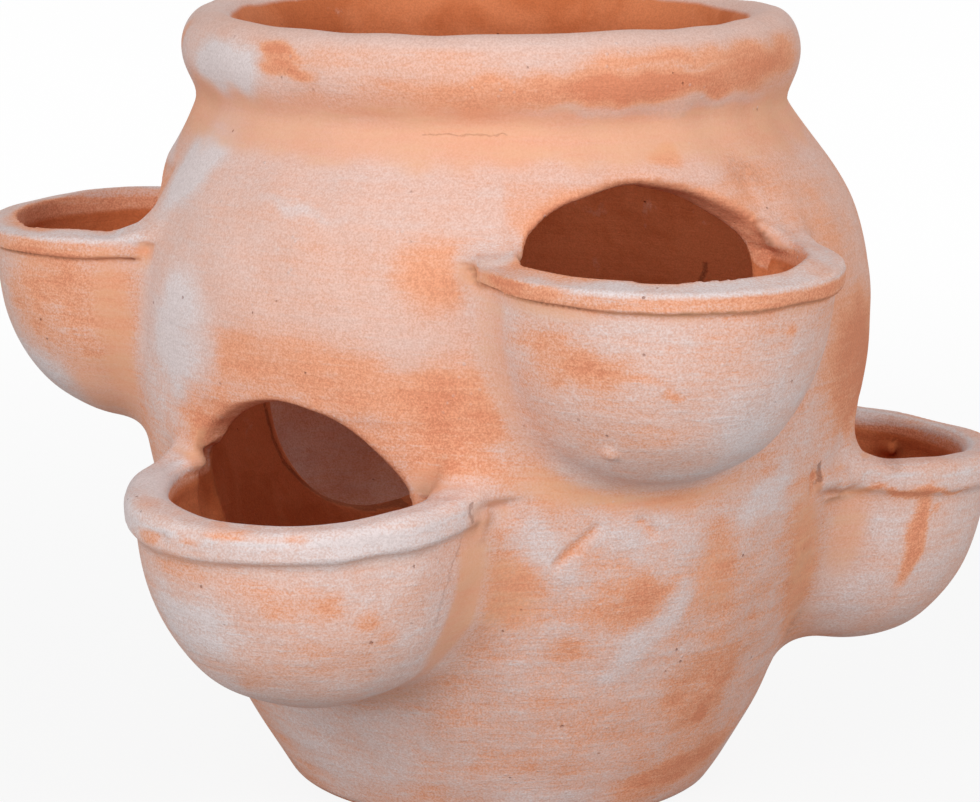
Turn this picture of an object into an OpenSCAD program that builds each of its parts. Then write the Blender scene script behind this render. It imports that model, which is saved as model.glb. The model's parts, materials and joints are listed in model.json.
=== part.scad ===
// Strawberry jar planter: a thrown terracotta jar with five planting pockets in two
// staggered rows, two of them high on the belly and three lower down.
// Millimetres. The origin is the middle of the base, where the jar stands, and +Z is up.
// Angles around the jar run from the front (-Y) towards the right (+X).

/* [Jar wall] */
// Outer radius of the foot, where the jar stands
foot_r = 88; // [70:1:108]
// Outer radius of the belly, the widest ring of the wall
belly_r = 157; // [130:1:190]
// Outer radius of the neck, under the rim
neck_r = 120; // [98:1:126]
// Height of the neck above the ground
neck_z = 290; // [240:1:350]
// Height of the upright collar above the neck, which carries the rim
collar_h = 13; // [9:0.5:20]
// How far the belly lies below the neck
belly_drop = 80; // [66:1:98]
// How far the joint between the lower wall and the shoulder lies below the neck
section_drop = 101; // [84:1:110]
// Thickness of the thrown wall
wall = 13; // [9:0.5:16]
// Thickness of the base slab
slab_h = 15; // [11:0.5:20]
// Bevel around the foot
foot_bevel = 3; // [1:0.5:5]
// Radius of the drain hole through the base slab
drain_r = 11; // [6:0.5:20]

/* [Rim] */
// Width of the rim roll, from its inside to its outside
rim_w = 26; // [21:0.5:32]
// Height of the rim roll
rim_h = 34; // [33:0.5:44]
// How far the roll leans out past the middle of the collar
rim_out = 3.5; // [0:0.5:5]
// How deep the collar is pressed up into the roll
rim_seat = 5; // [2:0.5:7]

/* [Pockets] */
// How far the middle of each mouth lies inside the wall's outer surface
mouth_set = 3; // [0:0.5:6]
// Inner radius of each mouth
mouth_r = 58; // [48:1:70]
// Thickness of each cup
cup_wall = 12; // [8:0.5:15]
// Depth of the inside of each cup, below the middle of its lip
cup_depth = 73; // [60:1:80]
// Fullness of each cup below its mouth: 2 is a plain oval, and more is squarer
cup_fullness = 2.4; // [2:0.05:3]
// Height of the lip's band
lip_h = 12; // [8:0.5:14]
// How far the lip stands out past the cup
lip_proud = 3.5; // [1:0.5:6]
// Radius on the lip's upper edges
lip_round = 4; // [1:0.5:5]
// Which way each upper pocket faces, left and front, in degrees from the jar's front
upper_turn = [-98, 24]; // [-180:1:225]
// Which way each lower pocket faces, front, right and rear, in degrees from the jar's front
lower_turn = [-30, 100, 205]; // [-180:1:225]
// How far each upper lip lies below the neck: left and front
upper_drop = [53.5, 46]; // [44:0.5:56]
// How far each lower lip lies below the neck: front, right and rear
lower_drop = [138.5, 150.5, 145]; // [136:0.5:154]
// Forward lean of each upper mouth, in degrees
upper_lean = [1.5, 2]; // [0:0.5:8]
// Forward lean of each lower mouth, in degrees
lower_lean = [6, 4.5, 4]; // [0:0.5:8]

/* [Openings into the jar] */
// How far each side of an opening stands in from its mouth
opening_inset = 3.5; // [1:0.5:6]
// Height of the upper openings' arches above the middle of their lips
upper_arch = 29; // [20:1:34]
// Height of the lower openings' arches above the middle of their lips
lower_arch = 34; // [24:1:42]
// How far the upper openings go down behind their cups
upper_cut = 44; // [36:1:58]
// How far the lower openings go down behind their cups
lower_cut = 56; // [36:1:58]
// How far each upper opening was cut to one side of its mouth, in degrees
upper_shift = [0, 1]; // [-5:0.5:5]
// How far each lower opening was cut to one side of its mouth, in degrees
lower_shift = [-5, 0, 0]; // [-5:0.5:5]

/* [Luting] */
// Thickness of the clay worked into the corner between a cup and the wall
luting_t = 5; // [3:0.5:7]
// How far the luting spreads out from the wall along the cup
luting_w = 11; // [6:0.5:16]

/* [Hidden] */
$fn = 96;
// Steps in the wall's outline below and above the belly, and in the oval section of a cup
LOWER_STEPS = 12;
UPPER_STEPS = 8;
CUP_STEPS = 12;
// Steps in each half of an opening's outline
OVAL_STEPS = 14;
// How far the shapes that cut the jar reach past it
CLEAR = 1;
// Turn to the plain wall between two pockets, where the wall's outline begins
PLAIN_TURN = -30;
// Half the depth of the shape that cuts an opening through the wall
CUT_REACH = 40;
CLAY = [0.85, 0.60, 0.49];
ORANGE = [0.84, 0.49, 0.34];
PALE = [0.90, 0.76, 0.70];

belly_z = neck_z - belly_drop;
section_z = neck_z - section_drop;
collar_z = neck_z + collar_h;
rim_r = neck_r - wall / 2 + rim_out;
rim_z = collar_z - rim_seat + rim_h / 2;
opening_w = mouth_r - opening_inset;
lip_w = cup_wall + lip_proud;

// Radius of the arc that stands upright at the belly and draws in by dx over the height dz
function sweep(dx, dz) = (dx * dx + dz * dz) / (2 * dx);
lower_sweep = sweep(belly_r - foot_r, belly_z);
upper_sweep = sweep(belly_r - neck_r, belly_drop);
// Outer radius of the wall at height z
function outer_r(z) = let(s = z < belly_z ? lower_sweep : upper_sweep)
    belly_r - s + sqrt(s * s - pow(z - belly_z, 2));

// Each pocket: name, turn around the jar, height of its lip and lean, then the height, the
// depth and the shift of its opening
UPPER_PLACES = ["upper_left", "upper_front"];
LOWER_PLACES = ["lower_front", "lower_right", "lower_rear"];
POCKETS = concat(
    [for (i = [0 : len(UPPER_PLACES) - 1]) [UPPER_PLACES[i], upper_turn[i],
        neck_z - upper_drop[i], upper_lean[i], upper_arch, upper_cut, upper_shift[i]]],
    [for (i = [0 : len(LOWER_PLACES) - 1]) [LOWER_PLACES[i], lower_turn[i],
        neck_z - lower_drop[i], lower_lean[i], lower_arch, lower_cut, lower_shift[i]]]);

// Points along an arc of the wall's outline, of radius r about [x, belly_z]
function wall_arc(x, r, from, to, steps) = [for (i = [0 : steps])
    let(a = from + (to - from) * i / steps) [x + r * cos(a), belly_z + r * sin(a)]];

// Half section of the solid jar from the foot up to top, grown outwards by skin
module jar_section(skin = 0, top = collar_z) {
    low_x = belly_r - lower_sweep;
    high_x = belly_r - upper_sweep;
    foot = wall_arc(low_x, lower_sweep + skin, -asin(belly_z / lower_sweep), 0, LOWER_STEPS);
    neck_turn = acos((neck_r + skin - high_x) / (upper_sweep + skin));
    crown = wall_arc(high_x, upper_sweep + skin, 0, neck_turn, UPPER_STEPS);
    polygon(concat([[0, foot[0][1]]], foot, [for (i = [1 : UPPER_STEPS]) crown[i]],
        [[neck_r + skin, top], [0, top]]));
}

// Half section of the thrown wall from height low to height high
module wall_section(low, high) {
    band(low, high) difference() {
        jar_section();
        jar_section(-wall, collar_z + CLEAR);
    }
}

// The band of a half section from height low to height high
module band(low, high) {
    intersection() {
        children();
        translate([0, low]) square([belly_r + CLEAR, high - low]);
    }
}

// Turns things to face the way a pocket does, with +X pointing away from the jar
module facing(p) {
    rotate([0, 0, p[1] - 90]) children();
}

// Places things in a pocket's own frame: its origin is the middle of the mouth, +X points
// away from the jar, and it leans forward by lean
module at_mouth(p, lean = 0) {
    facing(p) translate([outer_r(p[2]) - mouth_set, 0, p[2]]) rotate([0, lean, 0]) children();
}

// A ring or solid with the given half section, begun behind the jar as a pocket sees it
module turned_behind(p) {
    facing(p) rotate([0, 0, 180]) rotate_extrude() children();
}

// Half an oval, half_w to each side of the middle and high upwards, without its last point
function half_oval(half_w, high) = [for (i = [0 : OVAL_STEPS - 1])
    let(a = 180 * i / OVAL_STEPS) [half_w * cos(a), high * sin(a)]];

// The opening from a pocket into the jar: an arch above the lip, a bowl shape below it
module opening(p) {
    rotate([0, 0, p[6]]) at_mouth(p) rotate([90, 0, 90]) translate([0, 0, -CUT_REACH])
        linear_extrude(2 * CUT_REACH)
            polygon(concat(half_oval(opening_w, p[4]), half_oval(-opening_w, -p[5])));
}

// Quarter of a full oval from the mouth down to the bottom: r wide and d deep
module cup_section(r, d) {
    bend = 2 / cup_fullness;
    polygon(concat([[0, 0]], [for (i = [0 : CUP_STEPS]) let(a = 90 * i / CUP_STEPS)
        [r * pow(cos(a), bend), -d * pow(sin(a), bend)]]));
}

// A shell around a cup's form, from inner to outer past its inside, below the lip
module cup_shell(p, inner, outer) {
    at_mouth(p, p[3]) rotate_extrude() difference() {
        cup_section(mouth_r + outer, cup_depth + outer);
        cup_section(mouth_r + inner, cup_depth + inner);
        translate([0, -lip_h / 2]) square([mouth_r + outer + CLEAR, lip_h]);
    }
}

// The floor of the jar: a slab with the drain hole through its middle
module base_slab() {
    color(CLAY) rotate_extrude() difference() {
        band(0, slab_h) jar_section();
        square([drain_r, slab_h]);
        polygon([[foot_r - foot_bevel, 0], [outer_r(foot_bevel) + CLEAR, -CLEAR],
            [outer_r(foot_bevel) + CLEAR, foot_bevel], [outer_r(foot_bevel), foot_bevel]]);
    }
}

// The wall from the slab up to the joint on the belly
module lower_wall() {
    color(CLAY) difference() {
        rotate([0, 0, PLAIN_TURN]) rotate_extrude() wall_section(slab_h, section_z);
        for (p = POCKETS) opening(p);
    }
}

// The thrown section that closes in from the joint to the collar
module shoulder() {
    color(CLAY) difference() {
        rotate([0, 0, PLAIN_TURN]) rotate_extrude() wall_section(section_z, collar_z);
        for (p = POCKETS) if (p[2] + p[4] > section_z) opening(p);
    }
}

// The thick roll pressed down over the collar
module rim_roll() {
    color(PALE) rotate_extrude() difference() {
        translate([rim_r, rim_z]) {
            square([rim_w, rim_h - rim_w], center = true);
            for (side = [-1, 1]) translate([0, side * (rim_h - rim_w) / 2]) circle(rim_w / 2);
        }
        translate([neck_r - wall, neck_z]) square([wall, collar_h]);
    }
}

// A pocket's cup, open at the top and on the side towards the jar
module cup(p) {
    color(ORANGE) difference() {
        cup_shell(p, 0, cup_wall);
        turned_behind(p) jar_section();
    }
}

// The band of clay around a pocket's mouth, rounded on top
module lip(p) {
    color(PALE) difference() {
        at_mouth(p, p[3]) rotate_extrude() translate([mouth_r, -lip_h / 2]) {
            square([lip_w, lip_h - lip_round]);
            translate([lip_round, 0]) square([lip_w - 2 * lip_round, lip_h]);
            for (x = [lip_round, lip_w - lip_round]) translate([x, lip_h - lip_round])
                circle(lip_round);
        }
        turned_behind(p) jar_section();
    }
}

// The clay worked into the corner between a cup and the wall
module luting(p) {
    color(CLAY) intersection() {
        cup_shell(p, cup_wall, cup_wall + luting_t);
        turned_behind(p) difference() {
            jar_section(luting_w);
            jar_section(0, collar_z + CLEAR);
        }
    }
}

base_slab();
lower_wall();
shoulder();
rim_roll();
for (p = POCKETS) {
    cup(p);
    lip(p);
    luting(p);
}
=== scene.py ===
"""Looks of a hand-made terracotta strawberry jar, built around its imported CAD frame.

Metres. The jar stands on the origin with +Z up and its front towards -Y. Angles around the
jar run from the front towards the right (+X). The fired clay is worked out as one signed
distance, so that every joint is smoothed over as a potter smooths it, and the skin drawn on
it is cut into the pieces that the jar was built from.
"""
import functools
import json
import math
import operator

import bmesh
import bpy
import numpy as np
from mathutils import Matrix, Vector


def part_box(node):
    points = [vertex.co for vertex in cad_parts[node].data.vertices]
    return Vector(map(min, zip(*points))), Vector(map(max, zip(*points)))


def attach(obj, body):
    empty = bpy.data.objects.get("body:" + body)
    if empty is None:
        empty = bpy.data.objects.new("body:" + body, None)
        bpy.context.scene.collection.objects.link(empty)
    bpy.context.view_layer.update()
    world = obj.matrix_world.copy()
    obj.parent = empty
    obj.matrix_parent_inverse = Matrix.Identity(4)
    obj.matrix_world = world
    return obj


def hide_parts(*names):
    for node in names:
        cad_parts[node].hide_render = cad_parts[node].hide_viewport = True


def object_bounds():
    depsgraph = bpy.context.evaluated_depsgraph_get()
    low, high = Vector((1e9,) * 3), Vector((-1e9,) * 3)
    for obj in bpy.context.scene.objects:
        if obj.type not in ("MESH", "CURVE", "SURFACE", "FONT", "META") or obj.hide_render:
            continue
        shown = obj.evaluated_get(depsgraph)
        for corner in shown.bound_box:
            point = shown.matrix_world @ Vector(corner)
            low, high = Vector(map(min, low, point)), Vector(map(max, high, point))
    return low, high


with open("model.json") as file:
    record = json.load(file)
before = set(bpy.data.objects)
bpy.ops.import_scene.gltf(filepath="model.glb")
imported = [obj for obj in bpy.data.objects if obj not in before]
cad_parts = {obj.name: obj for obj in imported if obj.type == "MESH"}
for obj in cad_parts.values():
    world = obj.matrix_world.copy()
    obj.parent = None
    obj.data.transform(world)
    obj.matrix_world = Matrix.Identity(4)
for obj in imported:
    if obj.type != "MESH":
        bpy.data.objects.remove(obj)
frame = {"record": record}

bl_info = {
    "name": "Strawberry jar planter",
    "version": (1, 0, 0),
    "blender": (4, 5, 0),
    "location": "3D View > Sidebar > Planter",
    "description": "Builds a hand-made terracotta strawberry jar and the studio around it",
    "category": "Object",
}

MM = 0.001
BODY = "root"
WHITE = (1.0, 1.0, 1.0, 1.0)
# Radius at which the wall is laid out flat for its cracks
UNROLL_R = 0.145
# Heights and a radius well clear of the jar, for the cutters
BELOW, ABOVE, ASIDE = -0.02, 0.36, 0.3
# Top of the jar's core, which parts the pockets from the jar
CORE_TOP = 0.300
# How far a corner of clay is rounded over where it is crisp, soft and loose
CRISP, SOFT, LOOSE = 0.002, 0.003, 0.004
# Lime on each surface before its marks, from 0 to 1, how much it rises and falls in broad
# patches, and how unevenly it lies on the cups
WALL_LIME, CUP_LIME, RIM_TOP_LIME, CUT_LIME = 0.50, 0.59, 0.68, 0.14
PATCH_LIME = 0.05
CUP_PATCHY = 0.85
# Share of the unwashed colour that the rear cup's hollow keeps; the paler rest is painted light
REAR_UNWASHED_AFTER_PAINTED_LIGHT = 0.50
# One step along each axis of a grid
UNITS = np.eye(3, dtype=int)


def reach_of(node):
    """How far a CAD node reaches from the middle of the jar, along X or Y."""
    low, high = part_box(node)
    return max(-low.x, -low.y, high.x, high.y)


CAD_BOX = [list(corner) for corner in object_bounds()]
SLAB_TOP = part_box("base_slab")[1].z
SECTION_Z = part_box("shoulder")[0].z
COLLAR_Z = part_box("shoulder")[1].z
RIM_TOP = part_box("rim_roll")[1].z
RIM_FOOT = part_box("rim_roll")[0].z
RIM_REACH = reach_of("rim_roll")
BELLY_R = reach_of("shoulder")
MOUNTS = {mount["name"]: mount for mount in frame["record"]["mounts"]}
DRAIN_R = MOUNTS["drain_hole"]["dims"]["r_mm"] * MM
SLOTS = {part["node"]: part["material_slot"] for part in frame["record"]["subparts"]}

# Each pocket: which way it faces in degrees, height of its lip, forward lean in degrees, how
# far its opening was cut to one side of its mouth, in degrees, and how much narrower the
# opening gets for each step into the wall: on its right, or where it's less than 0 on its left
POCKETS = {
    "upper_left": (-98, 0.2365, 1.5, 0.0, 0.0),
    "upper_front": (24, 0.244, 2.0, 1.0, 0.8),
    "lower_front": (-30, 0.1515, 6.0, -5.0, -0.3),
    "lower_right": (100, 0.1395, 4.5, 0.0, 0.0),
    "lower_rear": (205, 0.145, 4.0, 0.0, 0.0),
}
# How each row was finished: rounding of a lip's top, clay smoothed in under the lip, how much
# more lime the lip's face has than its cup, and the shares of the lips' slope and cut rounding
ROWS = {
    "upper": (0.002, 0.001, -0.34, 1.0, 0.8),
    "lower": (0.005, 0.006, 0.12, 0.0, 0.5),
}

# Bits and rolls of clay left on the jar. Each end is given in degrees round the jar, mm above
# the ground and mm out from the wall, and the last number is its radius in mm.
LUMPS = (
    ((76, 139, 8), (69, 140.5, 1), 6.0),
    ((69, 140.5, 1), (61.5, 143.5, -2.5), 5.5),
    ((73, 132, 4), (66, 134, -0.5), 2.4),
    ((46, 249, 1.5), (46, 250, 1.5), 2.2),
    ((44.5, 254, 0), (45, 253, 0), 1.8),
    ((112, 127, 43), (114, 126, 43), 4.0),
    ((12.8, 179, 29.5), (13, 178, 29.5), 3.0),
    ((-2.8, 148, 6), (-3.6, 140, 7), 2.2),
)
# Nicks and gouges, given in the same way
NICKS = (
    ((9.0, 126, 1.6), (14.5, 140, 2.2), 2.4),
    ((21.3, 142, 2.0), (24.0, 136, 2.0), 2.4),
    ((-40, 143.5, 70.5), (-36, 143, 71.5), 2.4),
    ((-34, 148.0, 72.5), (-31.5, 149.0, 73.0), 2.2),
    ((-30, 152.5, 71.5), (-25.5, 152.8, 70.5), 2.2),
    ((-21.5, 149.5, 66.5), (-19.5, 149.2, 65.0), 2.2),
    ((-53.5, 138, -5), (-53.5, 152, -5), 7.5),
    ((59.0, 147, 0.5), (60, 140, 0.5), 1.8),
)


# ---------------------------------------------------------------- sizes and colours

def number(name, description, default, **options):
    """A number that the panel shows."""
    return bpy.props.FloatProperty(name=name, description=description, default=default, **options)


def length(name, description, default):
    """A size in metres that the panel shows."""
    return number(name, description, default, min=0.0, unit="LENGTH", precision=4)


def tint(name, description, default):
    """A colour, written as the display values from 0 to 255."""
    linear = [display_to_light(value / 255) for value in default]
    return bpy.props.FloatVectorProperty(
        name=name, description=description, default=linear, size=3, min=0.0, max=1.0,
        subtype="COLOR")


def display_to_light(value):
    """One display value from 0 to 1 as linear light."""
    return value / 12.92 if value <= 0.04045 else ((value + 0.055) / 1.055) ** 2.4


class PlanterJarSizes(bpy.types.PropertyGroup):
    """Sizes of the thrown jar."""
    foot_r: length("Foot radius", "Outer radius where the jar stands", 0.088)
    belly_r: length("Belly radius", "Outer radius at the widest ring", BELLY_R)
    neck_r: length("Neck radius", "Outer radius under the rim", 0.120)
    neck_z: length("Neck height", "Height of the neck above the ground", COLLAR_Z - 0.013)
    belly_drop: length("Belly drop", "How far the belly lies below the neck", 0.080)
    wall: length("Wall", "Thickness of the thrown wall", 0.013)
    rim_w: length("Rim width", "Width of the rolled rim", 0.026)
    foot_round: length("Foot rounding", "How far the foot's edge is rounded", 0.004)
    floor_round: length("Floor rounding", "How far the inside corner is filled", 0.016)
    neck_round: length("Neck rounding", "How far the neck's corner is smoothed over", 0.018)
    rim_round: length("Rim rounding", "How far clay is smoothed from the rim to the neck", 0.009)
    swell: length("Swell", "Height of the broad unevenness left by hand", 0.0008)
    dent: length("Dents", "Height of the small dents left by hand", 0.00022)


class PlanterPocketSizes(bpy.types.PropertyGroup):
    """Sizes of the five pockets."""
    mouth_set: length("Mouth setback", "How far a mouth's middle is inside the wall", 0.003)
    mouth_r: length("Mouth radius", "Inner radius of a mouth", 0.058)
    cup_wall: length("Cup wall", "Thickness of a cup", 0.012)
    cup_depth: length("Cup depth", "Depth of a cup below its lip", 0.073)
    fullness: number("Cup fullness", "2 is a plain oval, and more is squarer", 2.4, min=2.0,
        max=3.0)
    lip_h: length("Lip height", "Height of the band round a mouth", 0.012)
    lip_slope: length("Lip slope", "How far the upper lips' tops fall towards the outside", 0.003)
    lip_proud: length("Lip stand-out", "How far the lip stands out past the cup", 0.0035)
    opening_inset: length("Opening inset", "How far an opening stands in from its mouth", 0.0035)
    upper_arch: length("Upper arch", "Height of the upper openings above their lips", 0.029)
    lower_arch: length("Lower arch", "Height of the lower openings above their lips", 0.034)
    upper_cut: length("Upper cut", "How far the upper openings go down behind their cups", 0.044)
    lower_cut: length("Lower cut", "How far the lower openings go down behind their cups", 0.056)
    cut_round: length("Cut rounding", "How far the knife-cut edges are softened", 0.006)
    arch_fullness: number("Arch fullness", "2 is a plain oval, and less is more pointed", 1.7,
        min=1.2, max=2.0)
    upper_blend: length("Upper blend", "How far clay is smoothed from upper cups", 0.013)
    lower_blend: length("Lower blend", "How far clay is smoothed from lower cups", 0.020)
    luting_w: length("Luting width", "How far the luting spreads along a cup", 0.011)


class PlanterColours(bpy.types.PropertyGroup):
    """Colours of the fired clay and of the lime that bloomed on it."""
    raw: tint("Raw clay", "Bare clay where the bloom is rubbed away", (220, 142, 108))
    orange: tint("Orange clay", "Clay under the thinnest bloom", (230, 162, 128))
    pink: tint("Pink bloom", "A thin veil of lime over the clay", (226, 180, 162))
    pale: tint("Pale bloom", "A thicker veil of lime", (222, 194, 186))
    white: tint("White bloom", "Lime that lies on the clay like chalk", (221, 207, 206))
    slip: tint("Slip", "The smooth yellow slip worked into the roots", (228, 172, 134))
    inside: tint("Inside", "Unwashed clay inside the jar and its cups", (212, 127, 84))
    damp: tint("Damp inside", "Darker patches of the unwashed clay", (196, 109, 66))
    # Grey-brown soil stains, and painted shade over the lower front of the wall
    soil: tint("Soil", "Grey-brown stain left by earth and water", (150, 106, 88))
    # Painted shade of the corners and creases; the cracks and the torn edge take the same colour
    crease: tint("Crease", "The dark of a corner between two pieces of clay", (132, 74, 48))
    pit: tint("Pit", "The dark red of a small hole in the clay", (150, 84, 60))


class PlanterStage(bpy.types.PropertyGroup):
    """The studio around the planter."""
    camera_back: length("Camera distance", "How far in front of the jar the camera is", 1.5684)
    camera_side: number("Camera offset", "How far to the right of the jar the camera is", -0.0007,
        unit="LENGTH", precision=4)
    camera_up: length("Camera height", "Height of the camera above the floor", 0.4765)
    lens: number("Lens", "Focal length on a 36 mm sensor", 136.75, min=20.0)
    look_down: number("Look down", "How far the camera looks down", math.radians(11.34),
        subtype="ANGLE")
    roll: number("Roll", "How far the camera leans to one side", math.radians(0.35),
        subtype="ANGLE")
    floor_r: length("Floor radius", "How far the floor reaches", 9.0)


# ---------------------------------------------------------------- the form of the clay

def smooth_min(a, b, reach):
    """The lesser distance, with the corner between two surfaces filled over reach."""
    blend = np.clip(reach - np.abs(a - b), 0.0, None) / reach
    return np.minimum(a, b) - blend * blend * reach / 4


def smooth_max(a, b, reach):
    """The greater distance, with the corner between two surfaces rounded over reach."""
    return -smooth_min(-a, -b, reach)


def smooth_step(low, high, value):
    """0 below low, 1 above high, and an even curve between them."""
    share = np.clip((value - low) / (high - low), 0.0, 1.0)
    return share * share * (3 - 2 * share)


def oval(across, up, half_w, half_h, fullness=2.0):
    """Distance to an oval, near enough close to it; one with more fullness is squarer."""
    a = np.abs(across) / half_w
    b = np.abs(up) / half_h
    near = np.maximum(a ** fullness + b ** fullness, 1e-9) ** (1 / fullness)
    slope = np.hypot(a ** (fullness - 1) / half_w, b ** (fullness - 1) / half_h)
    return (near - 1) * near ** (fullness - 1) / np.maximum(slope, 1e-3)


def sweep(draw_in, height):
    """Radius of the arc that stands upright at the belly and draws in over a height."""
    return (draw_in ** 2 + height ** 2) / (2 * draw_in)


class Ripple:
    """Smooth random rise and fall through space, the same each time for the same seed."""

    def __init__(self, seed, size, waves=12):
        draw = np.random.default_rng(seed)
        way = draw.normal(size=(waves, 3))
        way /= np.linalg.norm(way, axis=1)[:, None]
        self.way = way * (2 * math.pi / size) * draw.uniform(0.7, 1.4, waves)[:, None]
        self.start = draw.uniform(0, 2 * math.pi, waves)

    def at(self, points):
        total = np.zeros(len(points))
        for way, start in zip(self.way, self.start):
            total += np.sin(points @ way + start)
        return total / math.sqrt(len(self.start) / 2)


def facing(turn):
    """The directions out from the jar and sideways, for something that faces one way."""
    out = np.array([math.sin(turn), -math.cos(turn), 0.0])
    return out, np.array([math.cos(turn), math.sin(turn), 0.0])


class Pocket:
    """One pocket's place on the jar, and distances in its own frame."""

    def __init__(self, name, jar, sizes):
        turn, self.height, lean, shift, self.taper = POCKETS[name]
        row = name.split("_")[0]
        self.lip_round, self.lip_fill, self.lip_face, slope, softness = ROWS[row]
        self.arch, self.cut_drop, self.blend = (getattr(sizes, f"{row}_{size}")
            for size in ("arch", "cut", "blend"))
        self.lip_slope = sizes.lip_slope * slope
        self.cut_round = sizes.cut_round * softness
        self.lip_middle = sizes.mouth_r + sizes.cup_wall / 2
        # How far from its mouth's middle a pocket matters
        self.reach = sizes.cup_depth + sizes.cup_wall + 0.037
        # Where the taper begins, out from the mouth's middle, and how much it lowers the arch
        self.taper_from, self.taper_down = (-0.010, 0.0) if self.taper > 0 else (0.002, 0.7)
        self.sizes = sizes
        self.turn = math.radians(turn)
        self.lean = math.radians(lean)
        self.out, self.side = facing(self.turn)
        self.cut_out, self.cut_side = facing(self.turn + math.radians(shift))
        radius = jar.outer_r(self.height) - sizes.mouth_set
        self.middle, self.cut_middle = self.out * radius, self.cut_out * radius
        self.middle[2] = self.cut_middle[2] = self.height

    def local(self, points):
        """Distances out from the jar, sideways and up, in the frame that leans forward."""
        offset = points - self.middle
        out = offset @ self.out
        up = offset[:, 2]
        leaned = out * math.cos(self.lean) - up * math.sin(self.lean)
        return leaned, offset @ self.side, out * math.sin(self.lean) + up * math.cos(self.lean)

    def lip_bloom(self, top):
        """How much lime more than its cup a lip has, from its front (0) to its top (1)."""
        edge = 4 * top * (1 - top)
        return self.lip_face * (1 - top) + 0.08 * top + 0.36 * edge

    def to_world(self):
        """The matrix from the pocket's leaned frame to the jar's."""
        spin = Matrix.Rotation(self.turn - math.pi / 2, 4, "Z")
        return Matrix.Translation(Vector(self.middle)) @ spin @ Matrix.Rotation(self.lean, 4, "Y")

    def bowl(self, points, wall):
        """Distance to the cup's hollow grown by a wall, and height above the mouth."""
        out, side, up = self.local(points)
        sizes = self.sizes
        return oval(np.hypot(out, side), np.minimum(up, 0.0), sizes.mouth_r + wall,
            sizes.cup_depth + wall, sizes.fullness), up

    def cup(self, points):
        """Distance to the outside of the cup, without its hollow."""
        bowl, up = self.bowl(points, self.sizes.cup_wall)
        above = up - self.sizes.lip_h / 4
        return np.where(above > 0, np.hypot(above, np.maximum(bowl, 0.0)), np.maximum(bowl, above))

    def hollow(self, points):
        """Distance to the hollow of the cup and the air just over it."""
        bowl, up = self.bowl(points, 0.0)
        return np.maximum(bowl, up - 0.03)

    def opening(self, points):
        """Distance to the arched opening through the wall."""
        offset = points - self.cut_middle
        out, side, up = offset @ self.cut_out, offset @ self.cut_side, offset[:, 2]
        deeper = np.clip(self.taper_from - out, 0.0, 0.016)
        side = side + self.taper * deeper * (side * self.taper > 0)
        up = up + abs(self.taper) * self.taper_down * deeper
        half_w = self.sizes.mouth_r - self.sizes.opening_inset
        above = oval(side, up, half_w, self.arch, self.sizes.arch_fullness)
        arch = np.where(up > 0, above, oval(side, up, half_w, self.cut_drop))
        return np.maximum(arch, np.abs(out) - 0.045)

    def lip(self, points):
        """Distance to the band round the mouth: crisp below and rounded on top."""
        out, side, up = self.local(points)
        half_w = (self.sizes.cup_wall + self.sizes.lip_proud) / 2
        across = np.hypot(out, side) - self.sizes.mouth_r - half_w
        fall = self.lip_slope * np.clip((across + half_w) / (2 * half_w), 0.0, 1.0)
        up = up + fall * smooth_step(-0.004, 0.004, up)
        rounding = np.where(up > 0, self.lip_round, 0.0015)
        dx = np.abs(across) - half_w + rounding
        dz = np.abs(up) - self.sizes.lip_h / 2 + rounding
        outside = np.hypot(np.maximum(dx, 0.0), np.maximum(dz, 0.0))
        return outside + np.minimum(np.maximum(dx, dz), 0.0) - rounding


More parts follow.
